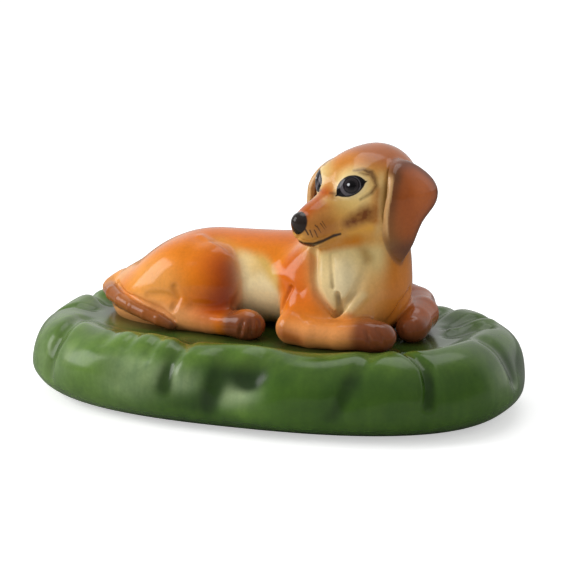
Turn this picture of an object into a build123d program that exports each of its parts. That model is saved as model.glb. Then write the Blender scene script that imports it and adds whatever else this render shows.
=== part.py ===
"""Glazed ceramic dachshund lying on an oval cushion, as the castings that are luted together.

Frame: +X along the cushion's length towards the dog's chest, +Y to the back, +Z up.
The origin is the middle of the foot rim, on the surface that the figurine stands on.
"""

from build123d import *

import os
from math import cos, pi, radians, sin

# Driving dimensions of the cushion, in millimetres
CUSHION_LENGTH = 120.0
CUSHION_WIDTH = 73.0
CUSHION_HEIGHT = 19.6
CUSHION_SQUARENESS = 2.45  # 2 is an ellipse, and larger is nearer a rectangle
OUTLINE_POINTS = 24
EQUATOR = 8.1  # the height at which the cushion is widest
BED_DEPTH = 1.8
FOOT_INSET = 9.5
FOOT_RIM_WIDTH = 5.0
FOOT_RECESS = 1.2

# Driving dimensions of the dog, in millimetres and degrees
HEAD_TURN = 28.0  # the muzzle's direction, from -Y towards -X
HEAD_X = 22.3
HEAD_Y = 4.5
EAR_THICKNESS = 2.6
FAR_EAR_SHIFT = 1.5  # how much further forward, lower and outward the right ear hangs
FAR_EAR_DROP = 0.9
FAR_EAR_SPREAD = 0.9
SPINE_Y = 2.5  # the hind legs are mirrored about this
FAR_THIGH_DROP = 1.8  # how much lower and flatter the left thigh lies
FAR_THIGH_FLATTENING = 1.5

# The casting's wall, and the openings that let air out of its hollows in the kiln
WALL = 3.0
POUR_HOLE_RADIUS = 5.0
BODY_VENT_RADIUS = 2.5
BODY_VENT_X = -12.0
BED_HEIGHT = CUSHION_HEIGHT - BED_DEPTH

# The cushion's sections: height, and how far the outline lies inside the widest one
CUSHION_SECTIONS = [
    (0.0, FOOT_INSET),
    (2.2, 4.0),
    (EQUATOR, 0.0),
    (13.8, 1.6),
    (17.6, 5.4),
    (CUSHION_HEIGHT, 11.0),
]
BED_SECTIONS = [(BED_HEIGHT, 17.0), (CUSHION_HEIGHT + 1.0, 11.5)]
CAVITY_SECTIONS = [(3.6, 9.0), (EQUATOR, 4.2), (13.8, 9.0)]

# Stations along each form, outermost first: x, y, z, half width, half height
BODY = [
    (-43.4, 4.0, 21.6, 3.0, 2.8),
    (-40.6, 3.6, 22.4, 6.4, 4.6),
    (-35.0, 3.0, 24.0, 9.6, 6.7),
    (-28.0, 2.6, 26.2, 11.6, 8.7),
    (-19.0, 2.5, 28.2, 12.4, 10.4),
    (-7.0, 2.8, 28.8, 12.8, 11.0),
    (4.0, 3.2, 29.0, 13.4, 11.3),
    (14.0, 4.0, 29.4, 13.4, 11.4),
    (21.0, 5.4, 29.4, 11.4, 10.6),
    (27.0, 7.2, 28.6, 6.0, 6.6),
]
CHEST = [
    (14.0, 13.0, 29.5, 7.0, 7.0),
    (17.4, 6.0, 30.0, 13.0, 12.0),
    (20.2, -1.2, 29.4, 13.4, 11.8),
    (22.0, -7.0, 28.2, 11.2, 10.0),
    (23.0, -11.0, 27.0, 6.0, 5.6),
]
NECK = [
    (19.4, 2.9, 31.0, 12.0, 12.6),
    (20.2, 2.7, 37.0, 11.2, 11.8),
    (21.2, 3.2, 43.0, 9.8, 10.8),
    (22.0, 4.2, 50.0, 8.4, 9.4),
]
RIGHT_SHOULDER = [
    (11.0, -5.4, 39.0, 2.4, 2.0),
    (11.0, -6.4, 35.0, 5.4, 4.6),
    (11.4, -7.4, 29.0, 6.8, 6.2),
    (12.2, -8.6, 23.0, 7.4, 7.2),
    (12.4, -8.6, 18.0, 5.6, 5.4),
]
RIGHT_FOREARM = [
    (11.0, -12.0, 23.0, 2.6, 2.6),
    (8.8, -15.6, 21.6, 3.9, 3.8),
    (14.4, -17.2, 20.9, 3.2, 3.2),
    (21.0, -16.8, 20.9, 3.2, 3.2),
    (27.0, -15.4, 21.1, 4.0, 3.8),
    (31.3, -14.4, 20.6, 3.6, 3.3),
    (33.6, -13.8, 20.0, 1.6, 1.4),
]
LEFT_FORELEG = [
    (23.0, 13.6, 28.0, 3.0, 3.0),
    (28.4, 14.0, 23.2, 4.0, 4.2),
    (33.0, 10.0, 21.8, 3.7, 3.6),
    (35.0, 4.1, 21.5, 3.5, 3.4),
    (35.4, -0.8, 21.6, 4.2, 3.9),
    (35.2, -5.2, 20.8, 3.4, 3.0),
    (35.0, -7.2, 20.2, 1.5, 1.3),
]
RIGHT_THIGH = [
    (-36.8, -3.4, 22.4, 3.0, 2.6),
    (-31.0, -5.0, 24.2, 6.6, 5.6),
    (-23.0, -6.0, 27.0, 8.2, 8.8),
    (-15.0, -6.2, 28.8, 8.6, 10.8),
    (-9.0, -6.4, 28.8, 6.8, 8.8),
    (-5.8, -6.6, 28.4, 3.0, 4.2),
]
RIGHT_HIND_FOOT = [
    (-24.6, -9.0, 20.6, 2.0, 1.8),
    (-19.0, -9.6, 20.7, 3.2, 2.8),
    (-11.0, -12.0, 20.4, 2.7, 2.5),
    (-5.0, -13.6, 20.8, 3.1, 3.0),
    (-1.4, -14.6, 20.9, 3.9, 3.5),
    (1.4, -15.2, 20.2, 2.8, 2.4),
    (2.6, -15.5, 19.8, 1.4, 1.2),
]
TAIL = [
    (-37.0, 6.0, 24.0, 2.6, 2.6),
    (-41.6, 5.0, 23.4, 2.5, 2.4),
    (-43.2, 1.6, 23.0, 2.2, 2.2),
    (-40.6, -3.2, 22.6, 2.0, 2.0),
    (-36.8, -7.2, 22.2, 1.9, 1.9),
    (-32.6, -10.2, 21.6, 1.8, 1.8),
    (-28.4, -12.2, 21.0, 1.7, 1.7),
    (-24.6, -13.4, 20.2, 1.6, 1.6),
    (-21.4, -14.2, 19.4, 1.2, 1.2),
]

# Stations of the head, in its own frame: forward, height, half width, half height
HEAD = [
    (-11.8, 52.1, 2.0, 2.0),
    (-9.2, 52.1, 6.4, 6.4),
    (-4.0, 52.0, 9.4, 9.6),
    (2.0, 51.2, 9.6, 10.6),
    (8.0, 50.4, 8.5, 9.8),
    (12.0, 48.6, 6.4, 8.4),
    (16.0, 46.2, 5.0, 6.2),
    (20.0, 45.7, 3.9, 4.8),
    (23.0, 45.6, 2.8, 3.2),
    (24.8, 46.0, 1.3, 1.4),
]
# Stations of the near ear, in the head's frame: height, forward, outward, half width
EAR = [
    (59.2, -1.4, 8.2, 2.4),
    (57.0, -0.5, 10.6, 4.7),
    (52.0, -1.0, 12.9, 7.4),
    (47.0, 0.8, 13.0, 6.2),
    (42.5, 3.0, 12.8, 3.8),
    (38.5, 3.3, 12.4, 2.3),
    (36.6, 3.2, 12.2, 0.9),
]

HEAD_FORWARD = Vector(-sin(radians(HEAD_TURN)), -cos(radians(HEAD_TURN)), 0)
HEAD_LEFT = Vector(0, 0, 1).cross(HEAD_FORWARD)


def superellipse(inset):
    """The cushion's outline, as points, with the whole outline moved in by inset."""
    half_length = CUSHION_LENGTH / 2 - inset
    half_width = CUSHION_WIDTH / 2 - inset
    power = 2 / CUSHION_SQUARENESS
    points = []
    for i in range(OUTLINE_POINTS):
        along = cos(2 * pi * i / OUTLINE_POINTS)
        across = sin(2 * pi * i / OUTLINE_POINTS)
        x = half_length * abs(along) ** power * (1 if along >= 0 else -1)
        y = half_width * abs(across) ** power * (1 if across >= 0 else -1)
        points.append((x, y))
    return points


def cushion_loft(sections):
    """A solid through the cushion's outline at each height."""
    with BuildPart() as form:
        for height, inset in sections:
            with BuildSketch(Plane.XY.offset(height)):
                with BuildLine():
                    Spline(*superellipse(inset), periodic=True)
                make_face()
        loft()
    return form.part


def limb_loft(stations, side=None):
    """A solid through ellipses square to the line of stations.

    A station's half width is level, and its half height is square to that. An upright
    limb gives side, the direction of its half width, because level doesn't fix it.
    """
    centres = [Vector(*station[:3]) for station in stations]
    last = len(stations) - 1
    with BuildPart() as form:
        for i, (x, y, z, half_width, half_height) in enumerate(stations):
            along = (centres[min(i + 1, last)] - centres[max(i - 1, 0)]).normalized()
            level = Vector(*side) if side else along.cross(Vector(0, 0, 1))
            level = level - along * level.dot(along)
            with BuildSketch(Plane(origin=(x, y, z), x_dir=level, z_dir=along)):
                Ellipse(half_width, half_height)
        loft()
    return form.part


def in_head(forward, outward, height):
    """A point of the head's own frame, in the row's frame."""
    return Vector(HEAD_X, HEAD_Y, height) + HEAD_FORWARD * forward + HEAD_LEFT * outward


def head_loft(stations):
    """A solid through upright ellipses from the nape to the nose."""
    with BuildPart() as form:
        for forward, height, half_width, half_height in stations:
            origin = in_head(forward, 0, height)
            with BuildSketch(Plane(origin=origin, x_dir=HEAD_LEFT, z_dir=HEAD_FORWARD)):
                Ellipse(half_width, half_height)
        loft()
    return form.part


def ear_loft(side, shift=0.0, drop=0.0, spread=0.0):
    """One hanging ear. side is 1 for the dog's left and -1 for its right."""
    with BuildPart() as form:
        for height, forward, outward, half_width in EAR:
            origin = in_head(forward + shift, side * (outward + spread), height - drop)
            with BuildSketch(Plane(origin=origin, x_dir=HEAD_FORWARD, z_dir=(0, 0, -1))):
                Ellipse(half_width, EAR_THICKNESS / 2)
        loft()
    return form.part


def shrunk(stations):
    """The same stations with the wall taken off, less the ones that are too small for it."""
    return [
        (*station[:-2], station[-2] - WALL, station[-1] - WALL)
        for station in stations
        if min(station[-2:]) > 2 * WALL
    ]


def mirrored(stations, drop=0.0, flattening=0.0):
    """The same limb's stations on the other side of the spine, lower and flatter."""
    return [
        (x, 2 * SPINE_Y - y, z - drop, width, max(height - flattening, flattening))
        for x, y, z, width, height in stations
    ]


os.makedirs("parts", exist_ok=True)

# Outer forms. Each casting is cut back by the forms that it is luted to, so faces meet.
with BuildPart() as cushion_form:
    add(cushion_loft(CUSHION_SECTIONS))
    add(cushion_loft(BED_SECTIONS), mode=Mode.SUBTRACT)

with BuildPart() as body_form:
    add(limb_loft(BODY))
    add(limb_loft(CHEST))

with BuildPart() as head_form:
    add(limb_loft(NECK, side=(1, 0, 0)))
    add(head_loft(HEAD))

with BuildPart() as right_hind_form:
    add(limb_loft(RIGHT_THIGH))
    add(limb_loft(RIGHT_HIND_FOOT))

# Inner forms, a wall's thickness inside the outer ones
body_cavity = limb_loft(shrunk(BODY))

with BuildPart() as head_cavity:
    add(limb_loft(shrunk(NECK), side=(1, 0, 0)))
    add(head_loft(shrunk(HEAD)))

# Cushion: hollow, on a foot rim, with a pour hole below and a vent into the dog above
with BuildPart() as cushion:
    add(cushion_form.part)
    add(cushion_loft(CAVITY_SECTIONS), mode=Mode.SUBTRACT)
    with BuildSketch(Plane.XY):
        with BuildLine():
            Spline(*superellipse(FOOT_INSET + FOOT_RIM_WIDTH), periodic=True)
        make_face()
    extrude(amount=FOOT_RECESS, mode=Mode.SUBTRACT)
    with BuildSketch(Plane.XY):
        Circle(POUR_HOLE_RADIUS)
    extrude(amount=EQUATOR, mode=Mode.SUBTRACT)
    with BuildSketch(Plane.XY.offset(EQUATOR)):
        with Locations((BODY_VENT_X, SPINE_Y)):
            Circle(BODY_VENT_RADIUS)
    extrude(amount=CUSHION_HEIGHT, mode=Mode.SUBTRACT)
cushion.part.label = "cushion"
export_step(cushion.part, "parts/cushion.step")

# Torso: hollow, open to the cushion through the same vent and to the head through the neck
with BuildPart() as torso:
    add(body_form.part)
    add(body_cavity, mode=Mode.SUBTRACT)
    add(head_cavity.part, mode=Mode.SUBTRACT)
    with BuildSketch(Plane.XY.offset(EQUATOR)):
        with Locations((BODY_VENT_X, SPINE_Y)):
            Circle(BODY_VENT_RADIUS)
    extrude(amount=CUSHION_HEIGHT, mode=Mode.SUBTRACT)
    add(cushion_form.part, mode=Mode.SUBTRACT)
torso.part.label = "torso"
export_step(torso.part, "parts/torso.step")

# Head: neck, skull and muzzle, hollow, standing on the torso
with BuildPart() as head:
    add(head_form.part)
    add(head_cavity.part, mode=Mode.SUBTRACT)
    add(body_form.part, mode=Mode.SUBTRACT)
head.part.label = "head"
export_step(head.part, "parts/head.step")

with BuildPart() as left_ear:
    add(ear_loft(1))
    add(head_form.part, mode=Mode.SUBTRACT)
left_ear.part.label = "left_ear"
export_step(left_ear.part, "parts/left_ear.step")

with BuildPart() as right_ear:
    add(ear_loft(-1, FAR_EAR_SHIFT, FAR_EAR_DROP, FAR_EAR_SPREAD))
    add(head_form.part, mode=Mode.SUBTRACT)
    add(body_form.part, mode=Mode.SUBTRACT)
right_ear.part.label = "right_ear"
export_step(right_ear.part, "parts/right_ear.step")

# Legs and tail: solid, laid on the cushion and luted to the torso
with BuildPart() as right_foreleg:
    add(limb_loft(RIGHT_SHOULDER, side=(1, 0, 0)))
    add(limb_loft(RIGHT_FOREARM))
    add(body_form.part, mode=Mode.SUBTRACT)
    add(head_form.part, mode=Mode.SUBTRACT)
    add(cushion_form.part, mode=Mode.SUBTRACT)
right_foreleg.part.label = "right_foreleg"
export_step(right_foreleg.part, "parts/right_foreleg.step")

with BuildPart() as left_foreleg:
    add(limb_loft(LEFT_FORELEG))
    add(body_form.part, mode=Mode.SUBTRACT)
    add(cushion_form.part, mode=Mode.SUBTRACT)
left_foreleg.part.label = "left_foreleg"
export_step(left_foreleg.part, "parts/left_foreleg.step")

with BuildPart() as right_hind_leg:
    add(right_hind_form.part)
    add(body_form.part, mode=Mode.SUBTRACT)
    add(cushion_form.part, mode=Mode.SUBTRACT)
right_hind_leg.part.label = "right_hind_leg"
export_step(right_hind_leg.part, "parts/right_hind_leg.step")

with BuildPart() as left_hind_leg:
    add(limb_loft(mirrored(RIGHT_THIGH, FAR_THIGH_DROP, FAR_THIGH_FLATTENING)))
    add(limb_loft(mirrored(RIGHT_HIND_FOOT)))
    add(body_form.part, mode=Mode.SUBTRACT)
    add(cushion_form.part, mode=Mode.SUBTRACT)
left_hind_leg.part.label = "left_hind_leg"
export_step(left_hind_leg.part, "parts/left_hind_leg.step")

with BuildPart() as tail:
    add(limb_loft(TAIL))
    add(body_form.part, mode=Mode.SUBTRACT)
    add(right_hind_form.part, mode=Mode.SUBTRACT)
    add(cushion_form.part, mode=Mode.SUBTRACT)
tail.part.label = "tail"
export_step(tail.part, "parts/tail.step")
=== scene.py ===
"""Looks of the glazed ceramic dachshund on its cushion.

The dog is sculpted as rounded forms joined by smooth blends, one group of forms for each
casting of the CAD model, and meshed as closed pieces that meet face to face. Colours are
sprayed on the vertices, and the face is drawn by shader nodes, all under one clear glaze.
Lengths are in millimetres until a mesh is written, and then in metres.
"""

from math import cos, radians, sin

import bpy
import numpy as np
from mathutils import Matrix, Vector


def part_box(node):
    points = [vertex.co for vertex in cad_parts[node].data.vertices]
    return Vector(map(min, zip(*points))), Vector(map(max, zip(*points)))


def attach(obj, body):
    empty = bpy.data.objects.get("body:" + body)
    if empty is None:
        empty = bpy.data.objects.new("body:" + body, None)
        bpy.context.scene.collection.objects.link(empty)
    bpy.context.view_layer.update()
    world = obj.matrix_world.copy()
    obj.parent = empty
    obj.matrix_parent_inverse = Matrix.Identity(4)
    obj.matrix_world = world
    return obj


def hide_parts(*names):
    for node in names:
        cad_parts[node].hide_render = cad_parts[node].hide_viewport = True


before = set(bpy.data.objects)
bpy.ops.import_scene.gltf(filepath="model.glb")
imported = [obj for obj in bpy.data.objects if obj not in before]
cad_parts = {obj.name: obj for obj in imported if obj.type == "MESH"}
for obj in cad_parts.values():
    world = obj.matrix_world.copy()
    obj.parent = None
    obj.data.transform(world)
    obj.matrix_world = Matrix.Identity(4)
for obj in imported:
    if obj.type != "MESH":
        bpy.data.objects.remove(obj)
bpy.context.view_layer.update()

MM = 0.001

# ---------------- forms and blends


def norm(q):
    """The length of each row."""
    return np.sqrt((q * q).sum(-1))


def blend(a, b, reach):
    """The union of two fields, with a fillet of about that reach where they meet."""
    h = np.clip(0.5 + 0.5 * (b - a) / reach, 0, 1)
    return b * (1 - h) + a * h - reach * h * (1 - h)


def rise(low, high, value):
    """A smooth step from 0 at low to 1 at high."""
    t = np.clip((value - low) / (high - low), 0, 1)
    return t * t * (3 - 2 * t)


def turned(yaw, pitch):
    """Columns that point forward, left and up after a turn about +Z and then a rise."""
    cy, sy, cp, sp = cos(radians(yaw)), sin(radians(yaw)), cos(radians(pitch)), sin(radians(pitch))
    return np.array([(cy * cp, -sy, -cy * sp), (sy * cp, cy, -sy * sp), (sp, 0, cp)])


def ellipsoid(p, centre, radii, yaw=0.0, pitch=0.0):
    """About the signed distance to an ellipsoid."""
    q = (p - np.array(centre)) @ turned(yaw, pitch)
    r = np.array(radii)
    k = norm(q / r)
    return k * (k - 1) / (norm(q / (r * r)) + 1e-6)


def cone(p, a, b):
    """The distance to a round-ended cone from a to b, each given as x, y, z, radius."""
    a, b = np.array(a, float), np.array(b, float)
    along = b[:3] - a[:3]
    t = np.clip(((p - a[:3]) @ along) / (along @ along), 0, 1)
    return norm(p - a[:3] - t[:, None] * along) - (a[3] + (b[3] - a[3]) * t)


def limb(p, stations, reach=0.4):
    """A tapering limb through its stations, each given as x, y, z, radius."""
    d = cone(p, stations[0], stations[1])
    for a, b in zip(stations[1:-1], stations[2:]):
        d = blend(d, cone(p, a, b), reach)
    return d


def line_distance(p, points):
    """The distance to a line through points."""
    nearest = None
    for a, b in zip(points[:-1], points[1:]):
        a, along = np.array(a, float), np.array(b, float) - np.array(a, float)
        t = np.clip(((p - a) @ along) / (along @ along), 0, 1)
        d = norm(p - a - t[:, None] * along)
        nearest = d if nearest is None else np.minimum(nearest, d)
    return nearest


# ---------------- the dog's castings
HEAD_AT = np.array([22.3, 4.5, 52.0])
HEAD_TURN = 28.0  # the muzzle's direction, from -Y towards -X
HEAD_AXES = turned(270 - HEAD_TURN, 0)  # columns: forward, left, up
SPINE_Y = 2.5  # the hind legs are mirrored about this plane
FAR_THIGH_DROP = 1.6  # how much lower the far thigh lies


def in_head(p):
    """Points in the head's own frame: forward, left and up from the middle of the skull."""
    return (p - HEAD_AT) @ HEAD_AXES


def folded(q):
    """Points of the head's own frame, with its right half folded over on the left one."""
    return q * (1, 0, 1) + np.abs(q) * (0, 1, 0)


def torso(p):
    d = ellipsoid(p, (5, 3, 29), (20, 12.2, 11.2))
    d = blend(d, ellipsoid(p, (-14, 2.6, 28.4), (18.5, 11.6, 11.3)), 5)
    d = blend(d, ellipsoid(p, (-24, 2.8, 24.2), (15, 10.6, 9)), 5)
    d = blend(d, ellipsoid(p, (-35.4, 3.4, 21.8), (8.4, 7.4, 6.6)), 4)
    d = blend(d, ellipsoid(p, (16.5, 4.4, 30.5), (11.5, 12.4, 10.8)), 5)
    d = blend(d, ellipsoid(p, (19.6, -2.6, 28.6), (12, 10.8, 11.2), yaw=19), 4)
    d = blend(d, ellipsoid(p, (26.2, 0.6, 29), (6.6, 8.4, 11), yaw=19), 2)
    return blend(d, ellipsoid(p, (18.6, -5.2, 31.5), (5.4, 7.2, 10.4), yaw=19), 2.4)


def head(p):
    q = in_head(p)
    both = folded(q)
    d = ellipsoid(q, (-0.8, 0, 0.1), (11, 9.6, 10))
    d = blend(d, ellipsoid(q, (6, 0, 0.2), (7.6, 8.6, 8)), 4)
    d = blend(d, ellipsoid(q, (12.4, 0, -5.7), (11.2, 5.2, 6.3), pitch=-4), 5)
    d = blend(d, ellipsoid(q, (19.4, 0, -7), (4.9, 3.7, 4), pitch=-4), 2.5)
    d = blend(d, ellipsoid(both, (3, 4.6, -5.6), (8, 5, 6.4)), 3)
    d = blend(d, ellipsoid(both, (9, 4, 2.4), (4.6, 3.3, 3.6)), 2)
    d = blend(d, ellipsoid(q, (23.2, 0, -5.4), (2.1, 2.4, 2.5)), 0.7)
    neck = [(19.4, 0, 31, 11.8), (20.4, 1, 38, 11), (21.2, 2.2, 44, 9.8), (21.6, 3.6, 50, 8.3)]
    return blend(d, limb(p, neck, 3), 3.5)


# The ear's outline, seen from the side of the head: forward and up
EAR_OUTLINE = [
    (2.5, 6.5), (6, 2.5), (7.5, -4.5), (6.5, -12), (3.5, -15.5),
    (0.5, -12.5), (-2.5, -7), (-8, -2.5), (-7.5, 2.5), (-2.5, 7),
]
EAR_EDGE = 0.55  # the radius of its rounded edge


def closed_curve(points, steps=5):
    """A closed Catmull-Rom curve through points, as a fine polygon."""
    knots = np.array(points, float)
    curve = []
    for i in range(len(knots)):
        a, b, c, d = (knots[(i + j) % len(knots)] for j in (-1, 0, 1, 2))
        for t in np.arange(steps) / steps:
            cubic = (2 * a - 5 * b + 4 * c - d) * t**2 + (3 * b - a - 3 * c + d) * t**3
            curve.append(b + 0.5 * ((c - a) * t + cubic))
    return np.array(curve)


def polygon_distance(u, v, polygon):
    """The signed distance to a closed polygon, negative inside."""
    nearest = np.full(u.shape, 1e9)
    inside = np.zeros(u.shape, bool)
    for (au, av), (bu, bv) in zip(polygon, np.roll(polygon, -1, 0)):
        du, dv = bu - au, bv - av
        t = np.clip(((u - au) * du + (v - av) * dv) / (du * du + dv * dv), 0, 1)
        nearest = np.minimum(nearest, (u - au - t * du) ** 2 + (v - av - t * dv) ** 2)
        if dv:
            inside ^= ((av <= v) != (bv <= v)) & (u < au + (v - av) * du / dv)
    return np.where(inside, -1, 1) * np.sqrt(nearest)


EAR_POLYGON = closed_curve(EAR_OUTLINE)


def ear_outward(forward, up, spread):
    """How far out from the head's middle plane the ear's own middle surface hangs."""
    out = 13.4 - 0.078 * np.clip(up + 1, 0, None) ** 2 - 0.008 * np.clip(-4 - up, 0, None) ** 2
    out = out + spread * np.clip((8 - up) / 8, 0, 1)
    return out - 0.035 * np.clip(forward, 0, None) ** 2 - 0.012 * np.clip(-forward, 0, None) ** 2


def ear(p, side, spread=0.0, shift=0.0, drop=0.0, thickness=1.25):
    """A hanging ear: a bent sheet inside its outline, thicker in the middle.

    The distance is worked out only near the ear, and is a rough one elsewhere.
    """
    q = in_head(p) * (1, side, 1) - (shift, 0, -drop)
    d = np.maximum(norm(q - (0, 12, -4)) - 15, 1)
    near = (np.abs(q[:, 0]) < 12) & (q[:, 2] > -20) & (q[:, 2] < 13) & (q[:, 1] > 2) & (q[:, 1] < 20)
    f, o, h = q[near].T
    slope = (ear_outward(f, h + 0.2, spread) - ear_outward(f, h - 0.2, spread)) / 0.4
    off = np.abs(o - ear_outward(f, h, spread)) / np.sqrt(1 + slope**2)
    edge = polygon_distance(f, h, EAR_POLYGON)
    half = thickness * (0.62 + 0.38 * np.clip(-edge / 3.5, 0, 1))
    across, through = edge + EAR_EDGE, off - (half - EAR_EDGE)
    outside = np.hypot(np.maximum(across, 0), np.maximum(through, 0))
    d[near] = np.minimum(np.maximum(across, through), 0) + outside - EAR_EDGE
    return d


def far_ear(p):
    """The right ear, set a little forward, low and wide, and kept on its own side of the neck."""
    return np.maximum(ear(p, -1, spread=0.9, shift=1.5, drop=0.9), -0.6 - p[:, 1])


def right_foreleg(p):
    forearm = [
        (9.4, -15.8, 21.6, 3.9), (14.4, -17.2, 20.9, 3.2), (21, -16.8, 20.9, 3.2), (27, -15.4, 21.2, 3.6),
    ]
    d = limb(p, forearm, 0.6)
    d = blend(d, ellipsoid(p, (11, -6.6, 27.8), (7.2, 5.8, 10.6), yaw=12), 4)
    d = blend(d, ellipsoid(p, (12.4, -8.6, 24), (7.6, 7.4, 7.4)), 3)
    return blend(d, ellipsoid(p, (29.2, -14.8, 20.9), (4.8, 3.9, 3.7), yaw=15), 1.5)


def left_foreleg(p):
    forearm = [
        (26.6, 12.6, 23.6, 4.4), (31.8, 10.4, 22.6, 4.4), (34.6, 4.4, 22.2, 4.1), (34.8, -0.6, 21.8, 3.8),
    ]
    return blend(limb(p, forearm, 0.4), ellipsoid(p, (34.8, -3.6, 20.9), (3.9, 4.8, 3.6)), 1.5)


def hind_leg(p, side):
    q = p if side > 0 else p * (1, -1, 1) + (0, 2 * SPINE_Y, 0)
    thigh = q if side > 0 else q + (0, 0, FAR_THIGH_DROP)
    d = ellipsoid(thigh, (-21, -4.4, 26), (15, 8.4, 10.8), pitch=25)
    d = blend(d, ellipsoid(thigh, (-12.6, -6.2, 27.6), (7.6, 6.6, 9.6)), 3)
    d = blend(d, ellipsoid(thigh, (-31.5, -2.4, 22.2), (8.6, 6.4, 5.2), pitch=20), 5)
    foot = limb(q, [(-20, -11, 20.6, 3), (-12, -12.8, 20.4, 2.7), (-6, -14, 20.9, 3)])
    foot = blend(foot, ellipsoid(q, (-2.4, -14.4, 21), (4.6, 3.8, 3.7), yaw=-10), 1.5)
    return blend(d, foot, 4.0)


def tail(p):
    stations = [
        (-37, 6, 24, 2.8), (-41.6, 5, 23.4, 2.5), (-43.2, 1.6, 23, 2.2),
        (-40.6, -3.2, 22.8, 2), (-36.8, -7.2, 22.4, 1.9), (-32.6, -10.2, 21.8, 1.8),
        (-28.4, -12.2, 21, 1.7), (-24.6, -13.4, 20.2, 1.6), (-21.4, -14.2, 19.4, 1.3),
    ]
    return limb(p, stations, 0.3)


def elbow_fillet(p):
    """Tight behind the elbow, and wide over the shoulder and towards the chest."""
    return 0.7 + 4.0 * np.maximum(rise(7, 14, p[:, 0]), rise(26, 33, p[:, 2]))


def thigh_fillet(p):
    """Tight at the thigh's front edge, and wide over the rump."""
    return 0.5 + 4.0 * rise(-13, -22, p[:, 0])


def tail_fillet(p):
    """Wide at the root, and tight along the haunch."""
    return 0.4 + 3.0 * rise(-38, -42, p[:, 0]) * rise(-1, 3, p[:, 1])


# Each casting's form, and the fillet that joins it to the ones before it
CASTINGS = {
    "torso": (torso, 0.0),
    "head": (head, 4.0),
    "right_foreleg": (right_foreleg, elbow_fillet),
    "left_foreleg": (left_foreleg, 1.0),
    "right_hind_leg": (lambda p: hind_leg(p, 1), thigh_fillet),
    "left_hind_leg": (lambda p: hind_leg(p, -1), thigh_fillet),
    "left_ear": (lambda p: ear(p, 1), 0.9),
    "right_ear": (far_ear, 0.9),
    "tail": (tail, tail_fillet),
}
NAMES = list(CASTINGS)


# ---------------- the cushion
cushion_low, cushion_high = (np.array(corner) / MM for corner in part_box("cushion"))
CUSHION_HALF_LENGTH, CUSHION_HALF_WIDTH = (cushion_high - cushion_low)[:2] / 2
CUSHION_HEIGHT = cushion_high[2]
SQUARENESS = 2.45  # 2 is an ellipse, and larger is nearer a rectangle
EQUATOR = 8.1  # the height at which the cushion is widest
TOP_ROUND = 9.4
FOOT_ROUND = 12.0
BED_DEPTH = 1.8
SINK = 0.3  # how far the dog's underside goes into the cushion


def cushion_inset(x, y):
    """How far inside the cushion's outline each point lies."""
    low, high = np.full(x.shape, -12.0), np.full(x.shape, CUSHION_HALF_WIDTH - 0.05)
    for _ in range(24):
        middle = (low + high) / 2
        along = np.abs(x / (CUSHION_HALF_LENGTH - middle)) ** SQUARENESS
        across = np.abs(y / (CUSHION_HALF_WIDTH - middle)) ** SQUARENESS
        high = np.where(along + across > 1, middle, high)
        low = np.where(along + across > 1, low, middle)
    return low


def cushion_top(inset):
    """The height of the cushion's upper side."""
    return CUSHION_HEIGHT - BED_DEPTH * rise(9, 16, inset)


def quarter(out, up, width, height):
    """About the distance to a quarter ellipse, of that width and height."""
    k = np.hypot(out / width, up / height)
    return k * (k - 1) / (np.hypot(out / width**2, up / height**2) + 1e-6)


def cushion(p):
    x, y, z = p.T
    inset = cushion_inset(x, y)
    upper = quarter(np.maximum(TOP_ROUND - inset, 0), z - EQUATOR, TOP_ROUND, cushion_top(inset) - EQUATOR)
    lower = quarter(np.maximum(FOOT_ROUND - inset, 0), EQUATOR - z, FOOT_ROUND, EQUATOR * 1.015)
    return np.maximum(np.where(z > EQUATOR, upper, lower), -z)


def casting_fields(p):
    return np.stack([form(p) for form, _ in CASTINGS.values()])


def whole_dog(p, fields):
    """The castings joined by their fillets."""
    d = fields[0]
    for field, (_, fillet) in zip(fields[1:], list(CASTINGS.values())[1:]):
        d = blend(d, field, fillet(p) if callable(fillet) else fillet)
    return d


def dog_field(p):
    """The finished dog: castings, creases and ridges, and the flat underside in the cushion."""
    fields = casting_fields(p)
    d = whole_dog(p, fields)
    under = cushion_top(cushion_inset(p[:, 0], p[:, 1])) - SINK - p[:, 2]
    return np.maximum(scored(p, d, DOG_STROKES), under), fields


def scored(p, d, strokes):
    """A field with each stroke pressed in (depth above 0) or raised (below 0) along its line."""
    d = d.copy()
    for depth, width, line in strokes:
        line = np.array(line, float)
        reach = 2.6 * width
        near = (np.abs(d) < 3) & np.all((p > line.min(0) - reach) & (p < line.max(0) + reach), 1)
        if near.any():
            d[near] += depth * np.exp(-((line_distance(p[near], line) / width) ** 2))
    return d


def on_head(points):
    """Points of the head's own frame, in the row frame."""
    return [tuple(HEAD_AT + HEAD_AXES @ np.array(point)) for point in points]


def both_sides(strokes):
    """Strokes of the near hind leg, and the same on the far one."""
    far = []
    for depth, width, line in strokes:
        mirrored = [(x, 2 * SPINE_Y - y, z - FAR_THIGH_DROP) for x, y, z in line]
        far.append((depth, width, mirrored))
    return strokes + far


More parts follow.
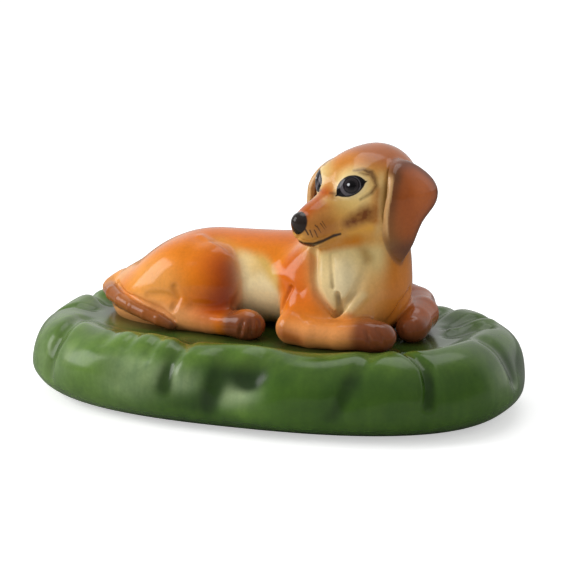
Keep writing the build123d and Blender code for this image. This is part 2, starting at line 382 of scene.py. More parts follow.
# Depth (below 0 for a ridge), half width and line of each crease
DOG_STROKES = both_sides([
    (0.7, 0.8, [(-14, -5, 38.5), (-9, -7.5, 37), (-5.5, -8, 34.5), (-4, -9, 31), (-6.5, -11, 24.5)]),
    (-0.35, 1.2, [(-18, -3, 39), (-11, -7, 37), (-8, -8, 35), (-6, -9, 31), (-7, -10, 27)]),
    (0.5, 1.4, [(-16, -13.5, 24), (-10, -13.5, 24), (-6, -14.5, 24)]),
    (0.6, 0.45, [(-2, -18, 23), (-3, -18, 18.5)]),
    (0.6, 0.45, [(-0.2, -17.5, 23.5), (-0.6, -17.5, 18.5)]),
    (0.5, 0.45, [(1.3, -16.5, 23), (1.2, -16.5, 19)]),
    (0.8, 0.7, [(8, -12, 30), (6, -13, 25), (4.8, -15, 21.5), (4.8, -17, 18.5)]),
]) + [
    (0.8, 0.7, [
        (-40, -2, 25), (-36.5, -6.5, 24.5), (-32, -10, 24), (-28, -12, 23), (-24, -13, 22), (-21, -14, 20.5),
    ]),
    (0.6, 0.8, [(-21, -12.5, 28), (-20, -13, 26), (-21, -13.5, 23)]),
    (0.5, 0.9, [(-28, -12, 25.5), (-24, -12.5, 26), (-21.5, -13, 25.5)]),
    (1, 1, [(13, -10, 39), (14, -12.5, 33), (15, -14, 30), (17, -14, 27), (20, -13, 23.5)]),
    (1.1, 0.8, [
        (19.6, -13.4, 24.4), (21.2, -13.8, 27.4), (23.4, -13.4, 30.6), (25.2, -12, 34), (25.6, -10.5, 37),
    ]),
    (-0.8, 1.2, [(19.8, -13.4, 23), (22.4, -13.8, 26.2), (25.2, -12.4, 29.8)]),
    (-0.6, 1.8, [(20.6, -13, 37), (21.2, -13.6, 33), (21.6, -13.8, 30)]),
    (1.1, 0.55, [(19.8, -13.8, 30), (20.1, -13.7, 27), (20.2, -13.2, 24.4)]),
    (0.5, 0.5, [(17.4, -11.7, 38.5), (18, -12.8, 35), (18.6, -13.6, 31.5)]),
    (0.9, 0.9, [(29.5, -6.5, 21), (30.5, -5.5, 23.5), (32, -4.5, 26.5), (33.5, -1, 29)]),
    (0.6, 0.5, [(27.7, -18.6, 24), (29.5, -19, 19.5)]),
    (0.6, 0.5, [(30.6, -17.8, 23.7), (32.4, -18, 19.5)]),
    (0.6, 0.5, [(32.4, -8, 23), (33.4, -8.6, 19.3)]),
    (0.6, 0.5, [(35.5, -8.4, 23), (36, -9, 19.5)]),
]
# The mouth, and the crease under each eye, in the head's own frame
MOUTH_CREASE = [(24.4, -1, -8), (23, 1.5, -9.6), (21.4, 3, -9.8), (18, 4.6, -8.7), (15, 5.2, -7.9)]
LID_CREASE = [(15, 3, -0.2), (13.6, 5.8, -1), (11, 7.8, 0.6), (9, 8.4, 3.2)]
for side in (1, -1):
    for width, crease in ((0.42, MOUTH_CREASE), (0.8, LID_CREASE)):
        DOG_STROKES.append((0.35, width, on_head([(x, side * y, z) for x, y, z in crease])))

# The cushion's folds and the ridge between two of them, each given like the dog's creases
CUSHION_STROKES = [
    (1.5, 2, [
        (-13.6, -21, 18.6), (-12.6, -26, 19.6), (-12.6, -30.5, 18.9),
        (-14.2, -33.8, 16.2), (-15, -36.2, 10.8),
    ]),
    (1.3, 1.9, [
        (-44.6, -12, 18.9), (-45, -18, 19.2), (-46, -23, 16.6), (-48, -25.6, 12), (-49, -26.4, 8),
    ]),
    (0.6, 1.7, [(-31.2, -22, 19.4), (-31.9, -26, 19.5), (-33, -28.6, 18.4)]),
    (0.75, 1.6, [(-25, -24.6, 19.4), (-25.7, -27.8, 19.3), (-26.6, -30, 18)]),
    (0.65, 1.6, [(-18.8, -26, 19.5), (-19.5, -29.6, 19), (-20.4, -31.6, 17.6)]),
    (0.8, 3, [(-2, -32, 18.2), (-3, -36, 12), (-3.6, -36.8, 6)]),
    (0.9, 3, [(7, -31, 18.8), (5.5, -35, 14.4)]),
    (0.9, 2.4, [(31.4, -22, 19.4), (30.4, -26.6, 19.2), (28, -33, 13.6), (25.4, -35.2, 7)]),
    (1.7, 1.25, [
        (32.7, -14.5, 18.4), (36.7, -19.6, 19.6), (40.4, -21.9, 19.3),
        (43.6, -23.8, 17.2), (45.2, -26.2, 13), (45.4, -27.4, 9.6),
    ]),
    (0.9, 2.4, [(52.4, -4, 19.2), (56, -4, 16.8), (59, -5, 11)]),
    (1.2, 1.5, [(42, 3, 18.2), (46, 6, 19.4), (50, 8, 19.2)]),
    (1.2, 1.5, [(39.8, 10, 18.2), (43.6, 14.5, 19.4), (47.6, 18, 19)]),
    (-0.8, 1.6, [(41.4, 7, 18.6), (45, 10.6, 19.6), (49, 13, 19.2)]),
    (1.3, 1.8, [(34, 17, 18.6), (37, 22, 19.6), (39.6, 27, 17.6), (41, 30, 12)]),
    (1.3, 2, [(18, 20.5, 18.4), (19, 26, 19.6), (20.6, 31.5, 18.2), (22, 35.4, 12)]),
    (1.1, 2.2, [(1, 21, 18.4), (0, 27, 19.6), (-1.4, 32.6, 17.8), (-2, 36.2, 11)]),
    (1.4, 1.6, [(-15, 20, 18.4), (-17, 25.6, 19.6), (-18, 31, 18.4), (-17.6, 35.2, 12.6)]),
    (1.2, 2, [(-31, 17, 18.6), (-34.6, 22.6, 19.6), (-37, 28, 17.2), (-38, 31.4, 11)]),
    (1.7, 1.9, [(-46, 6, 18.6), (-51, 9, 19.4), (-55.4, 11.6, 16.6), (-58.2, 13, 10)]),
    (1, 1.4, [(-47, -2, 18.6), (-51.4, -3.4, 19.4), (-55, -4.6, 17.6)]),
]

RECESS_INSET = 14.5  # from the cushion's outline in to the edge of the recess underneath
RECESS_DEPTH = 1.2
POUR_HOLE_RADIUS = 5.0
POUR_HOLE_DEPTH = 4.0


def cushion_field(p):
    """The cushion with its folds and soft lobes, and its foot rim and pour hole underneath."""
    x, y, z = p.T
    d = scored(p, cushion(p), CUSHION_STROKES)
    lobes = np.sin(0.23 * x + 0.6) * np.sin(0.19 * y + 0.25 * z + 1.1)
    lobes = lobes + 0.6 * np.sin(0.11 * x - 0.27 * z + 2.0)
    rim = rise(17.5, 9.5, cushion_inset(x, y)) * rise(2.5, 7, z)
    d = d - 0.42 * lobes * rim
    half_length, half_width = CUSHION_HALF_LENGTH - RECESS_INSET, CUSHION_HALF_WIDTH - RECESS_INSET
    from_edge = norm(p[:, :2] / (half_length, half_width))
    recess = np.maximum((from_edge - 1) * half_width, z - RECESS_DEPTH)
    hole = np.maximum(norm(p[:, :2]) - POUR_HOLE_RADIUS, z - POUR_HOLE_DEPTH)
    return np.maximum(d, -np.minimum(recess, hole))


# ---------------- meshing
def in_chunks(function, p, size=120_000):
    """A function's values over many points, a share of them at a time to save memory."""
    return np.concatenate([function(p[i:i + size]) for i in range(0, len(p), size)])


def label_grid(labels_at, distance_at, low, high, step, block=4):
    """The label of every node of a grid, found only where the surface or the inside may be."""
    counts = [int(np.ceil((b - a) / (block * step))) for a, b in zip(low, high)]
    coarse = np.stack(np.meshgrid(*[np.arange(n + 1) for n in counts], indexing="ij"), -1)
    near = in_chunks(distance_at, low + coarse.reshape(-1, 3) * step * block) < block * step * 1.8
    near = near.reshape(coarse.shape[:3])
    blocks = np.zeros(counts, bool)
    for i, j, k in np.ndindex(2, 2, 2):
        blocks |= near[i:i + counts[0], j:j + counts[1], k:k + counts[2]]
    for axis in range(3):
        blocks = blocks.repeat(block, axis)
    nodes = np.zeros([n * block + 1 for n in counts], bool)
    for i, j, k in np.ndindex(2, 2, 2):
        nodes[i:i + blocks.shape[0], j:j + blocks.shape[1], k:k + blocks.shape[2]] |= blocks
    labels = np.zeros(nodes.shape, np.uint8)
    labels[nodes] = in_chunks(labels_at, low + np.argwhere(nodes) * step)
    return labels


def surface_nets(labels, low, step):
    """One vertex in each cell of mixed labels, and one quad across each edge of mixed labels.

    Returns the vertices, each one's labels as bits, the quads, and the labels of each quad's
    back and front.
    """
    corners = [labels[i:labels.shape[0] - 1 + i, j:labels.shape[1] - 1 + j, k:labels.shape[2] - 1 + k]
               for i, j, k in np.ndindex(2, 2, 2)]
    mixed = np.zeros(corners[0].shape, bool)
    for corner in corners[1:]:
        mixed |= corner != corners[0]
    cells = np.argwhere(mixed)
    index = np.full(mixed.shape, -1, np.int32)
    index[mixed] = np.arange(len(cells))
    bits = np.zeros(len(cells), np.int32)
    for corner in corners:
        bits |= 1 << corner[mixed].astype(np.int32)
    quads, sides = [], []
    for axis in range(3):
        u, v = (axis + 1) % 3, (axis + 2) % 3
        a = np.moveaxis(labels, (axis, u, v), (0, 1, 2))
        edge = np.argwhere(a[:-1, 1:-1, 1:-1] != a[1:, 1:-1, 1:-1])
        n = np.moveaxis(index, (axis, u, v), (0, 1, 2))
        i, j, k = edge.T
        quads.append(np.stack([n[i, j, k], n[i, j + 1, k], n[i, j + 1, k + 1], n[i, j, k + 1]], 1))
        sides.append(np.stack([a[i, j + 1, k + 1], a[i + 1, j + 1, k + 1]], 1))
    return low + (cells + 0.5) * step, bits, np.concatenate(quads), np.concatenate(sides).astype(int)


def gradient(function, p, reach=0.05):
    """The slope of a field that returns one or several values for each point."""
    offsets = np.eye(3) * reach
    return np.stack([(function(p + o) - function(p - o)) / (2 * reach) for o in offsets], -1)


def averaged(values, pairs, kept):
    """Each value's mean over its neighbours, or the value itself where it has none."""
    count = np.bincount(pairs.ravel(), minlength=len(values))[:, None]
    total = np.stack([
        np.bincount(pairs[:, 0], values[pairs[:, 1], k], len(values))
        + np.bincount(pairs[:, 1], values[pairs[:, 0], k], len(values)) for k in range(3)
    ], 1)
    return np.where((count > 0) & kept[:, None], total / np.maximum(count, 1), values)


def fitted(p, bits, quads, sides, distance_at, castings_at, step, rounds=3):
    """Moves the vertices onto the surface and the seams, evenly spread. Returns them and their normals."""
    outside = (bits & 1) > 0
    owned = (bits[:, None] >> np.arange(1, 1 + len(NAMES))) & 1
    several = owned.sum(1) > 1
    pair = owned.sum(1) == 2
    first, last = owned.argmax(1), len(NAMES) - 1 - owned[:, ::-1].argmax(1)
    skin = quads[(sides == 0).any(1)]
    seam = quads[(sides > 0).all(1)]

    def edges(faces):
        found = np.concatenate([faces[:, [k, (k + 1) % 4]] for k in range(4)])
        return np.unique(np.sort(found, 1), axis=0)

    skin_edges, seam_edges = edges(skin), edges(seam)
    curve_edges = skin_edges[several[skin_edges].all(1)]

    def differences(q, which):
        values = castings_at(q)
        return values[first[which], np.arange(len(q))] - values[last[which], np.arange(len(q))]

    def project(q):
        """One Newton step towards the surface, and for seams towards where two castings are level."""
        moved = q.copy()
        for which, function in ((outside, distance_at), (pair, None)):
            which = np.flatnonzero(which)
            if not len(which):
                continue
            here = q[which] if function else moved[which]
            f = function or (lambda r: differences(r, which))
            value, slope = f(here), gradient(f, here)
            if function:
                normal[which] = slope / (norm(slope)[:, None] + 1e-9)
            else:
                on_skin = outside[which, None]
                across = (slope * normal[which]).sum(1)[:, None] * normal[which]
                slope = np.where(on_skin, slope - across, slope)
            size = (slope * slope).sum(1) + 0.02
            shift = -value[:, None] * slope / size[:, None]
            shift *= np.minimum(1, step * 0.8 / (norm(shift) + 1e-9))[:, None]
            moved[which] = here + shift
        return moved

    normal = np.zeros_like(p)
    start = p.copy()
    for turn in range(rounds):
        p = project(p)
        if turn < rounds - 1:
            p = averaged(p, skin_edges, outside & ~several)
            p = averaged(p, curve_edges, outside & several)
            p = averaged(p, seam_edges, ~outside)
        p = start + np.clip(p - start, -1.2 * step, 1.2 * step)
    p = project(project(p))
    return p, normal


def write_mesh(name, p, faces, normals, colours):
    """A new object from quads, in millimetres, with its own normals and paint."""
    used, faces = np.unique(faces, return_inverse=True)
    mesh = bpy.data.meshes.new(name)
    mesh.from_pydata((p[used] * MM).tolist(), [], faces.reshape(-1, 4).tolist())
    mesh.shade_smooth()
    paint = mesh.color_attributes.new("paint", "FLOAT_COLOR", "POINT")
    paint.data.foreach_set("color", np.c_[colours[used], np.ones(len(used))].astype(np.float32).ravel())
    mesh.normals_split_custom_set_from_vertices(normals[used].tolist())
    obj = bpy.data.objects.new(name, mesh)
    bpy.context.scene.collection.objects.link(obj)
    return obj


# ---------------- shader helpers
def node(tree, kind, values=None, **settings):
    """A new node, with its inputs set to values or linked to sockets."""
    made = tree.nodes.new("ShaderNode" + kind)
    for key, value in settings.items():
        setattr(made, key, value)
    for key, value in (values or {}).items():
        if isinstance(value, bpy.types.NodeSocket):
            tree.links.new(value, made.inputs[key])
        else:
            made.inputs[key].default_value = value
    return made


def maths(tree, operation, *values, clamp=False):
    """The value that a Math node makes of others."""
    return node(tree, "Math", dict(enumerate(values)), operation=operation, use_clamp=clamp).outputs[0]


def times(tree, a, b):
    return maths(tree, "MULTIPLY", a, b)


def vector(tree, operation, a, b, output=0):
    """What a Vector Math node makes of two vectors: a vector, or with output 1 a number."""
    return node(tree, "VectorMath", {0: a, 1: b}, operation=operation).outputs[output]


def mix(tree, factor, a, b, blend_type="MIX"):
    """A colour between a and b, or their product with MULTIPLY."""
    made = node(tree, "Mix", data_type="RGBA", blend_type=blend_type)
    for index, value in ((0, factor), (6, a), (7, b)):
        if isinstance(value, bpy.types.NodeSocket):
            tree.links.new(value, made.inputs[index])
        else:
            made.inputs[index].default_value = value if index == 0 else (*value, 1)
    return made.outputs[2]


def noise(tree, position, scale, detail=3.0, roughness=0.5):
    """Noise about 0.5, at so many features for each metre."""
    values = {"Vector": position, "Scale": scale, "Detail": detail, "Roughness": roughness}
    return node(tree, "TexNoise", values).outputs[0]


def grey(tree, level):
    """A colour with the same level in red, green and blue."""
    return node(tree, "CombineColor", {0: level, 1: level, 2: level}).outputs[0]


def glaze(name, colour_of, roughness=0.3, coat_roughness=0.13, wave=0.00012, wave_scale=110):
    """A clear glaze over painted clay, with a slight ripple of so many waves for each metre.

    colour_of(tree, position) returns the colour's socket.
    """
    material = bpy.data.materials.new(name)
    material.use_nodes = True
    tree = material.node_tree
    tree.nodes.clear()
    position = node(tree, "TexCoord").outputs["Object"]
    ripple = noise(tree, position, wave_scale, 2.0)
    bump = node(tree, "Bump", {"Strength": 0.35, "Distance": wave, "Height": ripple}).outputs[0]
    shader = node(tree, "BsdfPrincipled", {
        "Base Color": colour_of(tree, position), "Roughness": roughness, "Specular IOR Level": 0.0,
        "Coat Weight": 1.0, "Coat Roughness": coat_roughness, "Coat IOR": 1.5,
        "Normal": bump, "Coat Normal": bump,
    })
    node(tree, "OutputMaterial", {"Surface": shader.outputs[0]})
    return material


def sprayed(tree, position):
    """The airbrushed colour, with its fine speckle and soft brush streaks."""
    paint = node(tree, "Attribute", attribute_name="paint").outputs["Color"]
    speckle = noise(tree, position, 1500, 2.0)
    cloud = noise(tree, position, 160, 3.0)
    light = maths(tree, "ADD", times(tree, speckle, 0.22), times(tree, cloud, 0.34))
    return mix(tree, 1.0, paint, grey(tree, maths(tree, "ADD", light, 0.72)), "MULTIPLY")


def mottled(tree, position):
    """The green glaze, with its cloudy patches and faint upright brush marks."""
    paint = sprayed(tree, position)
    cloud = noise(tree, position, 75, 4.0, 0.6)
    streaks = noise(tree, vector(tree, "MULTIPLY", position, (420.0, 420.0, 60.0)), 1.0, 2.0)
    cloud = maths(tree, "MULTIPLY_ADD", cloud, 2.6, -0.8, clamp=True)
    thick = times(tree, maths(tree, "SUBTRACT", 1.0, cloud), 0.55)
    paint = mix(tree, thick, paint, (0.020, 0.052, 0.006))
    bright = mix(tree, 1.0, paint, (1.5, 1.35, 1.3), "MULTIPLY")
    return mix(tree, maths(tree, "MULTIPLY_ADD", streaks, 1.4, -0.45, clamp=True), paint, bright)


# ---------------- the painted face
# The face is drawn on a plane that faces the cheek, turned and raised from the muzzle's direction.
# Its lengths are in mm from the iris: across towards the ear, and up.
FACE_TURN, FACE_RISE = 47.0, 13.75
OUT, ACROSS, UP = (tuple(axis) for axis in turned(FACE_TURN, FACE_RISE).T.tolist())
IRIS_ACROSS, IRIS_UP = -5.35, -0.36
LID_DISCS = (((0.4, -1.5), 3.8), ((-1.4, 2.2), 4.9))  # middle and radius; the eye is where they overlap
IRIS_RADIUS, PUPIL_RADIUS, WHITE_RADIUS = 1.95, 1.15, 2.4
BLACK, SLATE = (0.005, 0.004, 0.005), (0.030, 0.024, 0.026)
DIM_WHITE, WHITE = (0.09, 0.08, 0.09), (0.75, 0.77, 0.80)
SOOT, SEPIA = (0.022, 0.015, 0.012), (0.095, 0.036, 0.013)

# Each stroke: where it starts and ends, and its half width there
BROW = [
    ((0.6, 3.4), (2.8, 3.6), 0.15, 0.40), ((2.8, 3.6), (4.6, 2.9), 0.40, 0.70),
    ((4.6, 2.9), (5.3, 1.6), 0.75, 0.65), ((5.3, 1.6), (5.8, 0), 0.60, 0.40),
    ((5.8, 0), (4.7, -1.6), 0.40, 0.34), ((4.7, -1.6), (2.1, -3.2), 0.34, 0.15),
    ((1.8, 2.9), (4.4, 2.4), 0.10, 0.45), ((-3.7, -1.9), (-4.8, -1.7), 0.30, 0.15),
]
MOUTH = [
    ((-13.7, -11), (-12.9, -12.6), 0.60, 0.52), ((-12.9, -12.6), (-11.1, -13.5), 0.52, 0.46),
    ((-11.1, -13.5), (-8.8, -13.6), 0.46, 0.46), ((-8.8, -13.6), (-6.4, -12.7), 0.44, 0.34),
    ((-6.4, -12.7), (-4, -11.5), 0.32, 0.32), ((-4, -11.5), (-2.5, -11.1), 0.34, 0.26),
]
WHISKERS = [
    ((-10.7, -10), (-9.9, -11.3), 0.22, 0.18), ((-9.5, -10.4), (-8.9, -11.9), 0.16, 0.10),
    ((-8.5, -10.3), (-7.7, -11.9), 0.13, 0.08), ((-8.3, -9.2), (-7.4, -10.1), 0.12, 0.05),
    ((-7.9, -9.4), (-7, -10.9), 0.12, 0.05), ((-7.1, -8.8), (-6.1, -10.1), 0.12, 0.05),
    ((-6.7, -8.3), (-5.8, -9.7), 0.10, 0.04),
]
LID_CORNERS = [((-2.7, -1.8), (-3.5, -2.4), 0.42, 0.14), ((2.8, 0.6), (3.6, 1.0), 0.34, 0.08)]
# Soft patches of the cheek and jaw: a stroke, its colour and how strong it is
PATCHES = [
    ((-6, -3.3), (0.8, -4.2), 0.6, 0.8, (0.76, 0.50, 0.14), 0.6),
    ((6, -1), (5.6, -8), 0.5, 0.7, (0.40, 0.115, 0.010), 0.95),
    ((-0.6, -8.6), (3.6, -6.4), 1.3, 1.9, (0.15, 0.040, 0.010), 0.95),
    ((0, -10.8), (4.5, -9.8), 0.4, 0.6, (0.72, 0.36, 0.04), 0.7),
    ((-8.5, -15), (1.5, -12.6), 0.5, 0.9, (0.55, 0.17, 0.004), 0.95),
]
NOSE_AT, NOSE_RADII = (24.4, 0.0, -5.1), (2.6, 2.65, 2.8)  # in the head's own frame


def stroke_group():
    """A node group: 1 inside a tapering stroke from one place to another, and 0 outside it."""
    group = bpy.data.node_groups.new("brush_stroke", "ShaderNodeTree")
    for name in ("Point", "From", "To"):
        group.interface.new_socket(name, in_out="INPUT", socket_type="NodeSocketVector")
    for name in ("Start", "End", "Softness"):
        group.interface.new_socket(name, in_out="INPUT", socket_type="NodeSocketFloat")
    group.interface.new_socket("Mask", in_out="OUTPUT", socket_type="NodeSocketFloat")
    given = group.nodes.new("NodeGroupInput").outputs
    along = vector(group, "SUBTRACT", given["To"], given["From"])
    here = vector(group, "SUBTRACT", given["Point"], given["From"])
    dots = [vector(group, "DOT_PRODUCT", a, along, 1) for a in (here, along)]
    t = maths(group, "DIVIDE", *dots, clamp=True)
    reached = node(group, "VectorMath", {0: along, "Scale": t}, operation="SCALE").outputs[0]
    off = vector(group, "DISTANCE", here, reached, 1)
    width = node(group, "Mix", {0: t, 2: given["Start"], 3: given["End"]}, data_type="FLOAT").outputs[0]
    inside = maths(group, "DIVIDE", maths(group, "SUBTRACT", width, off), given["Softness"])
    mask = maths(group, "ADD", inside, 0.5, clamp=True)
    group.links.new(mask, group.nodes.new("NodeGroupOutput").inputs[0])
    return group


def soft_below(tree, value, limit, softness):
    """1 where the value is under the limit, and 0 above it, with a soft edge."""
    return maths(tree, "MULTIPLY_ADD", maths(tree, "SUBTRACT", limit, value), 1 / softness, 0.5, clamp=True)


def face_painted(tree, position):
    """The head's sprayed colour, with the eyes, nose, mouth, brows and whisker strokes over it."""
    colour = sprayed(tree, position)
    place = vector(tree, "SUBTRACT", vector(tree, "MULTIPLY", position, (1 / MM,) * 3), tuple(HEAD_AT))
    forward, left, height = [vector(tree, "DOT_PRODUCT", place, tuple(axis), 1) for axis in HEAD_AXES.T]
    whole = node(tree, "CombineXYZ", {0: forward, 1: left, 2: height}).outputs[0]
    one_side = node(tree, "CombineXYZ", {0: forward, 1: maths(tree, "ABSOLUTE", left), 2: height}).outputs[0]
    flat = [vector(tree, "DOT_PRODUCT", one_side, axis, 1) for axis in (ACROSS, UP, OUT)]
    wobble = maths(tree, "MULTIPLY_ADD", noise(tree, whole, 0.9, 2.0), 0.16, -0.08)
    across = maths(tree, "SUBTRACT", maths(tree, "ADD", flat[0], wobble), IRIS_ACROSS)
    up = maths(tree, "SUBTRACT", maths(tree, "ADD", flat[1], wobble), IRIS_UP)
    point = node(tree, "CombineXYZ", {0: across, 1: up}).outputs[0]
    in_front = maths(tree, "MULTIPLY_ADD", flat[2], 0.5, -3.5, clamp=True)
    group = stroke_group()

    def strokes(lines, softness=0.14):
        covered = 0.0
        for start, end, *widths in lines:
            made = tree.nodes.new("ShaderNodeGroup")
            made.node_tree = group
            tree.links.new(point, made.inputs["Point"])
            made.inputs["From"].default_value = (*start, 0)
            made.inputs["To"].default_value = (*end, 0)
            made.inputs["Start"].default_value, made.inputs["End"].default_value = widths
            made.inputs["Softness"].default_value = softness
            covered = maths(tree, "MAXIMUM", made.outputs[0], covered)
        return times(tree, covered, in_front)

    def distance(centre):
        return vector(tree, "DISTANCE", point, (*centre, 0), 1)

    dry = maths(tree, "MULTIPLY_ADD", noise(tree, whole, 0.8, 2.0), 0.9, 0.42, clamp=True)
    for *stroke, patch_colour, strength in PATCHES:
        mask = times(tree, strokes([stroke], 2.0), strength)
        colour = mix(tree, times(tree, mask, dry), colour, patch_colour)
    lids = [maths(tree, "SUBTRACT", distance(centre), radius) for centre, radius in LID_DISCS]
    eye = maths(tree, "MAXIMUM", *lids)
    rim = times(tree, soft_below(tree, eye, 0.5, 0.9), in_front)
    colour = mix(tree, times(tree, rim, 0.6), colour, CREAM)
    brow = times(tree, strokes(BROW, 0.8), 0.85)
    colour = mix(tree, times(tree, brow, dry), colour, SEPIA)
    colour = mix(tree, times(tree, strokes(WHISKERS, 0.2), 0.85), colour, SOOT)
    colour = mix(tree, times(tree, strokes(MOUTH, 0.3), 0.94), colour, SOOT)
    nose = vector(tree, "DIVIDE", vector(tree, "SUBTRACT", whole, NOSE_AT), NOSE_RADII)
    nose = node(tree, "VectorMath", {0: nose}, operation="LENGTH").outputs["Value"]
    colour = mix(tree, soft_below(tree, nose, 1.0, 0.10), colour, SOOT)
    lashes = times(tree, soft_below(tree, eye, 0.0, 0.16), in_front)
    colour = mix(tree, lashes, colour, BLACK)
    colour = mix(tree, strokes(LID_CORNERS), colour, BLACK)
    iris = distance((0.0, 0.0))
    white = soft_below(tree, distance((-0.2, -0.25)), WHITE_RADIUS, 0.2)
    open_eye = times(tree, soft_below(tree, eye, -0.32, 0.2), white)
    open_eye = times(tree, open_eye, in_front)
    # From the dim white of the eye inwards: the iris's dark edge, the iris and the pupil
    rings = [
        (2 * WHITE_RADIUS, 0.2, DIM_WHITE), (IRIS_RADIUS, 0.2, BLACK),
        (IRIS_RADIUS - 0.3, 0.3, SLATE), (PUPIL_RADIUS, 0.6, BLACK),
    ]
    for radius, softness, ring_colour in rings:
        inside = soft_below(tree, iris, radius, softness)
        colour = mix(tree, times(tree, open_eye, inside), colour, ring_colour)
    glint = times(tree, open_eye, soft_below(tree, distance((-0.68, 0.13)), 0.27, 0.2))
    return mix(tree, glint, colour, WHITE)


# ---------------- the paint
def spot(p, centre, radii, hardness=1.0):
    """A soft sprayed patch, 1 at its middle."""
    k = (((p - np.array(centre)) / np.array(radii)) ** 2).sum(-1)
    return np.exp(-(k ** hardness))


def over(colours, target, mask):
    """Colours with another sprayed over them, as far as the mask says."""
    mask = np.clip(mask, 0, 1)[:, None]
    return colours * (1 - mask) + np.array(target) * mask


ORANGE, DEEP, SAND = (0.72, 0.20, 0.008), (0.62, 0.115, 0.003), (0.80, 0.36, 0.09)
CREAM, BUTTER = (0.80, 0.62, 0.33), (0.68, 0.42, 0.11)
RUST, UMBER, DARK_PAW = (0.30, 0.062, 0.010), (0.10, 0.036, 0.016), (0.20, 0.055, 0.018)
EAR_RED, EAR_DARK = (0.29, 0.062, 0.012), (0.075, 0.022, 0.010)


def near_line(p, line, width):
    """A soft sprayed line, 1 along its middle."""
    return np.exp(-((line_distance(p, line) / width) ** 2))


def plain(colour, p):
    return np.tile(np.array(colour), (len(p), 1))


def torso_paint(m, p):
    """Orange above and paler on the rump with a painted highlight, cream along the flank and on the chest, a
    painted highlight on the chest's ridge, and dark paint in the chest's folds that also paints their shade.
    """
    x, y, z = m.T
    c = plain(ORANGE, m)
    c = over(c, DEEP, 0.5 * rise(37, 40, z))
    # Paler sand on the rump: its own colour, with a painted highlight in it
    c = over(c, SAND, 0.8 * rise(-22, -34, x))
    flank = rise(-11, -7, x) * rise(9, 6, x) * rise(37.6, 34.4, z) * (1 - 0.4 * rise(4, 10, p[:, 1]))
    c = over(c, BUTTER, rise(37.5, 34.0, z + 0.95 * x) * flank)
    c = over(c, (0.95, 0.76, 0.42), rise(34.0, 30.0, z + 0.95 * x) * flank)
    c = over(c, BUTTER, rise(22, 18.5, z) * flank)
    c = over(c, BUTTER, 0.65 * near_line(m, [(-13, -5, 39), (-6, -8, 36.5), (-2.6, -8.6, 33.5)], 2.2))
    x, y, z = p.T
    front = rise(10, 16, x)
    c = over(c, (0.50, 0.24, 0.04), front)
    right = rise(-6, 6, 0.9 * (x - 25.5) - 0.32 * (z - 31) + 0.5 * (y + 11))
    c = over(c, BUTTER, front * rise(19, 22, z) * (1 - 0.8 * right))
    c = over(c, CREAM, spot(p, (20.6, -13.5, 34.5), (5.6, 7, 8.5), 2))
    c = over(c, CREAM, 0.8 * near_line(p, [(14.6, -12, 37), (15, -13, 32), (17.4, -14, 28)], 1.6))
    c = over(c, DEEP, 0.55 * right * front)
    c = over(c, (0.66, 0.56, 0.36), 0.8 * spot(p, (20.8, -13.5, 34), (2.6, 5, 4.5), 2))
    # A painted highlight: a cream line along the chest's ridge
    c = over(c, CREAM, 0.9 * near_line(p, [(19.8, -13.4, 23), (22.4, -13.8, 26.2), (25.2, -12.4, 29.8)], 0.9))
    # Dark paint in the chest's folds, which also paints their shade
    fold = near_line(p, [(19.9, -13.8, 29.4), (20.1, -13.7, 27), (20.2, -13.2, 24)], 0.8)
    right_fold = [(21.2, -13.8, 27.4), (23.4, -13.4, 30.6), (25.4, -11.4, 36.5)]
    fold = np.maximum(fold, 0.75 * near_line(p, right_fold, 0.7))
    fold = np.maximum(fold, 0.5 * near_line(p, [(17.8, -12.8, 36), (18.4, -13.6, 31)], 0.4))
    return over(c, (0.13, 0.055, 0.010), 0.85 * fold)


def head_paint(p):
    """Brown crown, pale face, orange bridge of the nose, and cream and orange under the chin."""
    q = in_head(p)
    f, h = q[:, 0], q[:, 2]
    s = folded(q)
    c = plain((0.62, 0.30, 0.065), p)
    c = over(c, (0.44, 0.115, 0.018), rise(3.0, 8.0, h - 0.30 * f + 0.1 * s[:, 1]))
    c = over(c, (0.60, 0.20, 0.020), spot(s, (9.5, 1.5, 7), (4.5, 4.5, 3)))
    c = over(c, (0.80, 0.60, 0.25), 0.95 * spot(s, (11.8, 5.6, 2.0), (4.6, 5.0, 5.4), 2))
    c = over(c, (0.62, 0.36, 0.08), 0.7 * spot(s, (14.0, 3.2, -2.6), (3.4, 4.0, 2.2)))
    c = over(c, (0.44, 0.085, 0.003), near_line(s, [(16, 0.4, 0.4), (19, 0.8, -1.8), (22.5, 0.8, -3.2)], 2.8))
    c = over(c, (0.36, 0.125, 0.022), 0.9 * spot(s, (19.5, 3.2, -6.4), (4.6, 3, 3.4), 2))
    c = over(c, (0.36, 0.105, 0.003), near_line(s, [(21, 0, -11), (15.5, 2.4, -12), (11, 6, -10.5)], 2.2))
    before_ear = [(5.5, 9.0, 5), (7.0, 9.2, 0), (7.6, 9.4, -6), (8, 9, -11)]
    c = over(c, (0.72, 0.50, 0.20), 0.9 * near_line(s, before_ear, 1.1))
    below = rise(-9.5, -13.0, h)
    c = over(c, (0.66, 0.50, 0.21), below * rise(2, 9, f))
    c = over(c, (0.44, 0.19, 0.025), 0.9 * below * rise(7, 1, f))
    c = over(c, (0.40, 0.14, 0.018), below * rise(25, 30, p[:, 0] + 0.25 * p[:, 1]))
    # A dark line in the neck's fold below the ear, partly paint and partly painted shade
    return over(c, (0.30, 0.15, 0.022), 0.7 * near_line(p, [(23, -10, 43), (25.4, -9.6, 38)], 1.5) * below)


